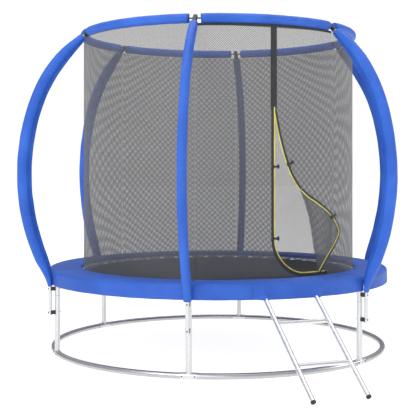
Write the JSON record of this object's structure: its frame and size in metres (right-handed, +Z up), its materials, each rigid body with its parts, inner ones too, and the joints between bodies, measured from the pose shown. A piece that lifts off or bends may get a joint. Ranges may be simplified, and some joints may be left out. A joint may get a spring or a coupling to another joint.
{
  "type": "backyard trampoline",
  "caption": "Round backyard trampoline with a sprung mat, a padded edge, an inner safety net with a zipped door on bowed padded poles, and a hook-on ladder.",
  "frame": {"origin": "on the ground, at the middle of the round frame", "axes": "+Z up along the ring axis; -Y is the entry side with the ladder and the door"},
  "size_m": [2.9542, 3.1854, 2.2969],
  "materials": {
    "galvanised_tube": "hot-galvanised tube, bright and satin",
    "ladder_tube": "galvanised thin tube, satin",
    "sleeve_cover": "blue coated fabric over foam, soft sheen",
    "pad_cover": "blue coated fabric over foam, woven backing shows through",
    "safety_net": "fine black polyester net, see-through",
    "mat_fabric": "tight black woven mat",
    "zip_tape": "yellow zip on dark tape",
    "zip_metal": "die-cast slider with a pull tab",
    "black_plastic": "moulded black plastic",
    "black_rubber": "soft black end cap",
    "ring_rod": "black glass-fibre rod",
    "spring_steel": "zinc-plated spring wire",
    "fasteners": "zinc-plated steel"
  },
  "bodies": {
    "root": {"leg_1": "galvanised_tube", "leg_2": "galvanised_tube", "leg_3": "galvanised_tube", "leg_4": "galvanised_tube", "leg_5": "galvanised_tube", "leg_6": "galvanised_tube", "frame_rail_1": "galvanised_tube", "frame_rail_2": "galvanised_tube", "frame_rail_3": "galvanised_tube", "frame_rail_4": "galvanised_tube", "frame_rail_5": "galvanised_tube", "frame_rail_6": "galvanised_tube", "base_ring_1": "galvanised_tube", "base_ring_2": "galvanised_tube", "base_ring_3": "galvanised_tube", "base_ring_4": "galvanised_tube", "base_ring_5": "galvanised_tube", "base_ring_6": "galvanised_tube", "pole_1": "galvanised_tube", "pole_2": "galvanised_tube", "pole_3": "galvanised_tube", "pole_4": "galvanised_tube", "pole_5": "galvanised_tube", "pole_6": "galvanised_tube", "pole_sleeve_1": "sleeve_cover", "pole_sleeve_2": "sleeve_cover", "pole_sleeve_3": "sleeve_cover", "pole_sleeve_4": "sleeve_cover", "pole_sleeve_5": "sleeve_cover", "pole_sleeve_6": "sleeve_cover", "ring_sleeve_1": "sleeve_cover", "ring_sleeve_2": "sleeve_cover", "ring_sleeve_3": "sleeve_cover", "ring_sleeve_4": "sleeve_cover", "ring_sleeve_5": "sleeve_cover", "ring_sleeve_6": "sleeve_cover", "net_panel_1": "safety_net", "net_panel_2": "safety_net", "net_panel_3": "safety_net", "net_panel_4": "safety_net", "net_panel_5": "safety_net", "net_panel_6": "safety_net", "ring_rods": "ring_rod", "pole_caps": "black_plastic", "pole_spacers": "black_plastic", "frame_bolts": "fasteners", "springs": "spring_steel", "safety_pad": "pad_cover", "zip_tape_fixed": "zip_tape", "toggles_fixed": "black_plastic", "pad_skirt": "pad_cover"},
    "bed": {"jump_mat": "mat_fabric", "v_rings": "fasteners"},
    "ladder": {"ladder_rails": "ladder_tube", "ladder_rungs": "ladder_tube", "ladder_end_caps": "black_rubber"},
    "door_flap": {"door_flap": "safety_net", "zip_tape_flap": "zip_tape", "toggles_flap": "black_plastic"},
    "zip_slider": {"zip_slider": "zip_metal"}
  },
  "joints": [
    {"name": "mat_bounce", "type": "slide", "parent": "root", "child": "bed", "axis": [0, 0, 1], "range_m": [-0.15, 0], "stiffness_N_per_m": 4000, "deforming": ["springs"]},
    {"name": "ladder_swing", "type": "hinge", "parent": "root", "child": "ladder", "pos_m": [0, -1.1872, 0.544], "axis": [-1, 0, 0], "range_deg": [0, 55]},
    {"name": "door_swing", "type": "hinge", "parent": "root", "child": "door_flap", "pos_m": [0.21027, -0.97253, 1.165], "axis": [0.262, 0.0786, -0.9619], "range_deg": [0, 140]},
    {"name": "zip_slide", "type": "hinge", "parent": "root", "child": "zip_slider", "pos_m": [0, 0, 0.615], "axis": [0, 0, 1], "range_deg": [-2.5, 0]}
  ]
}
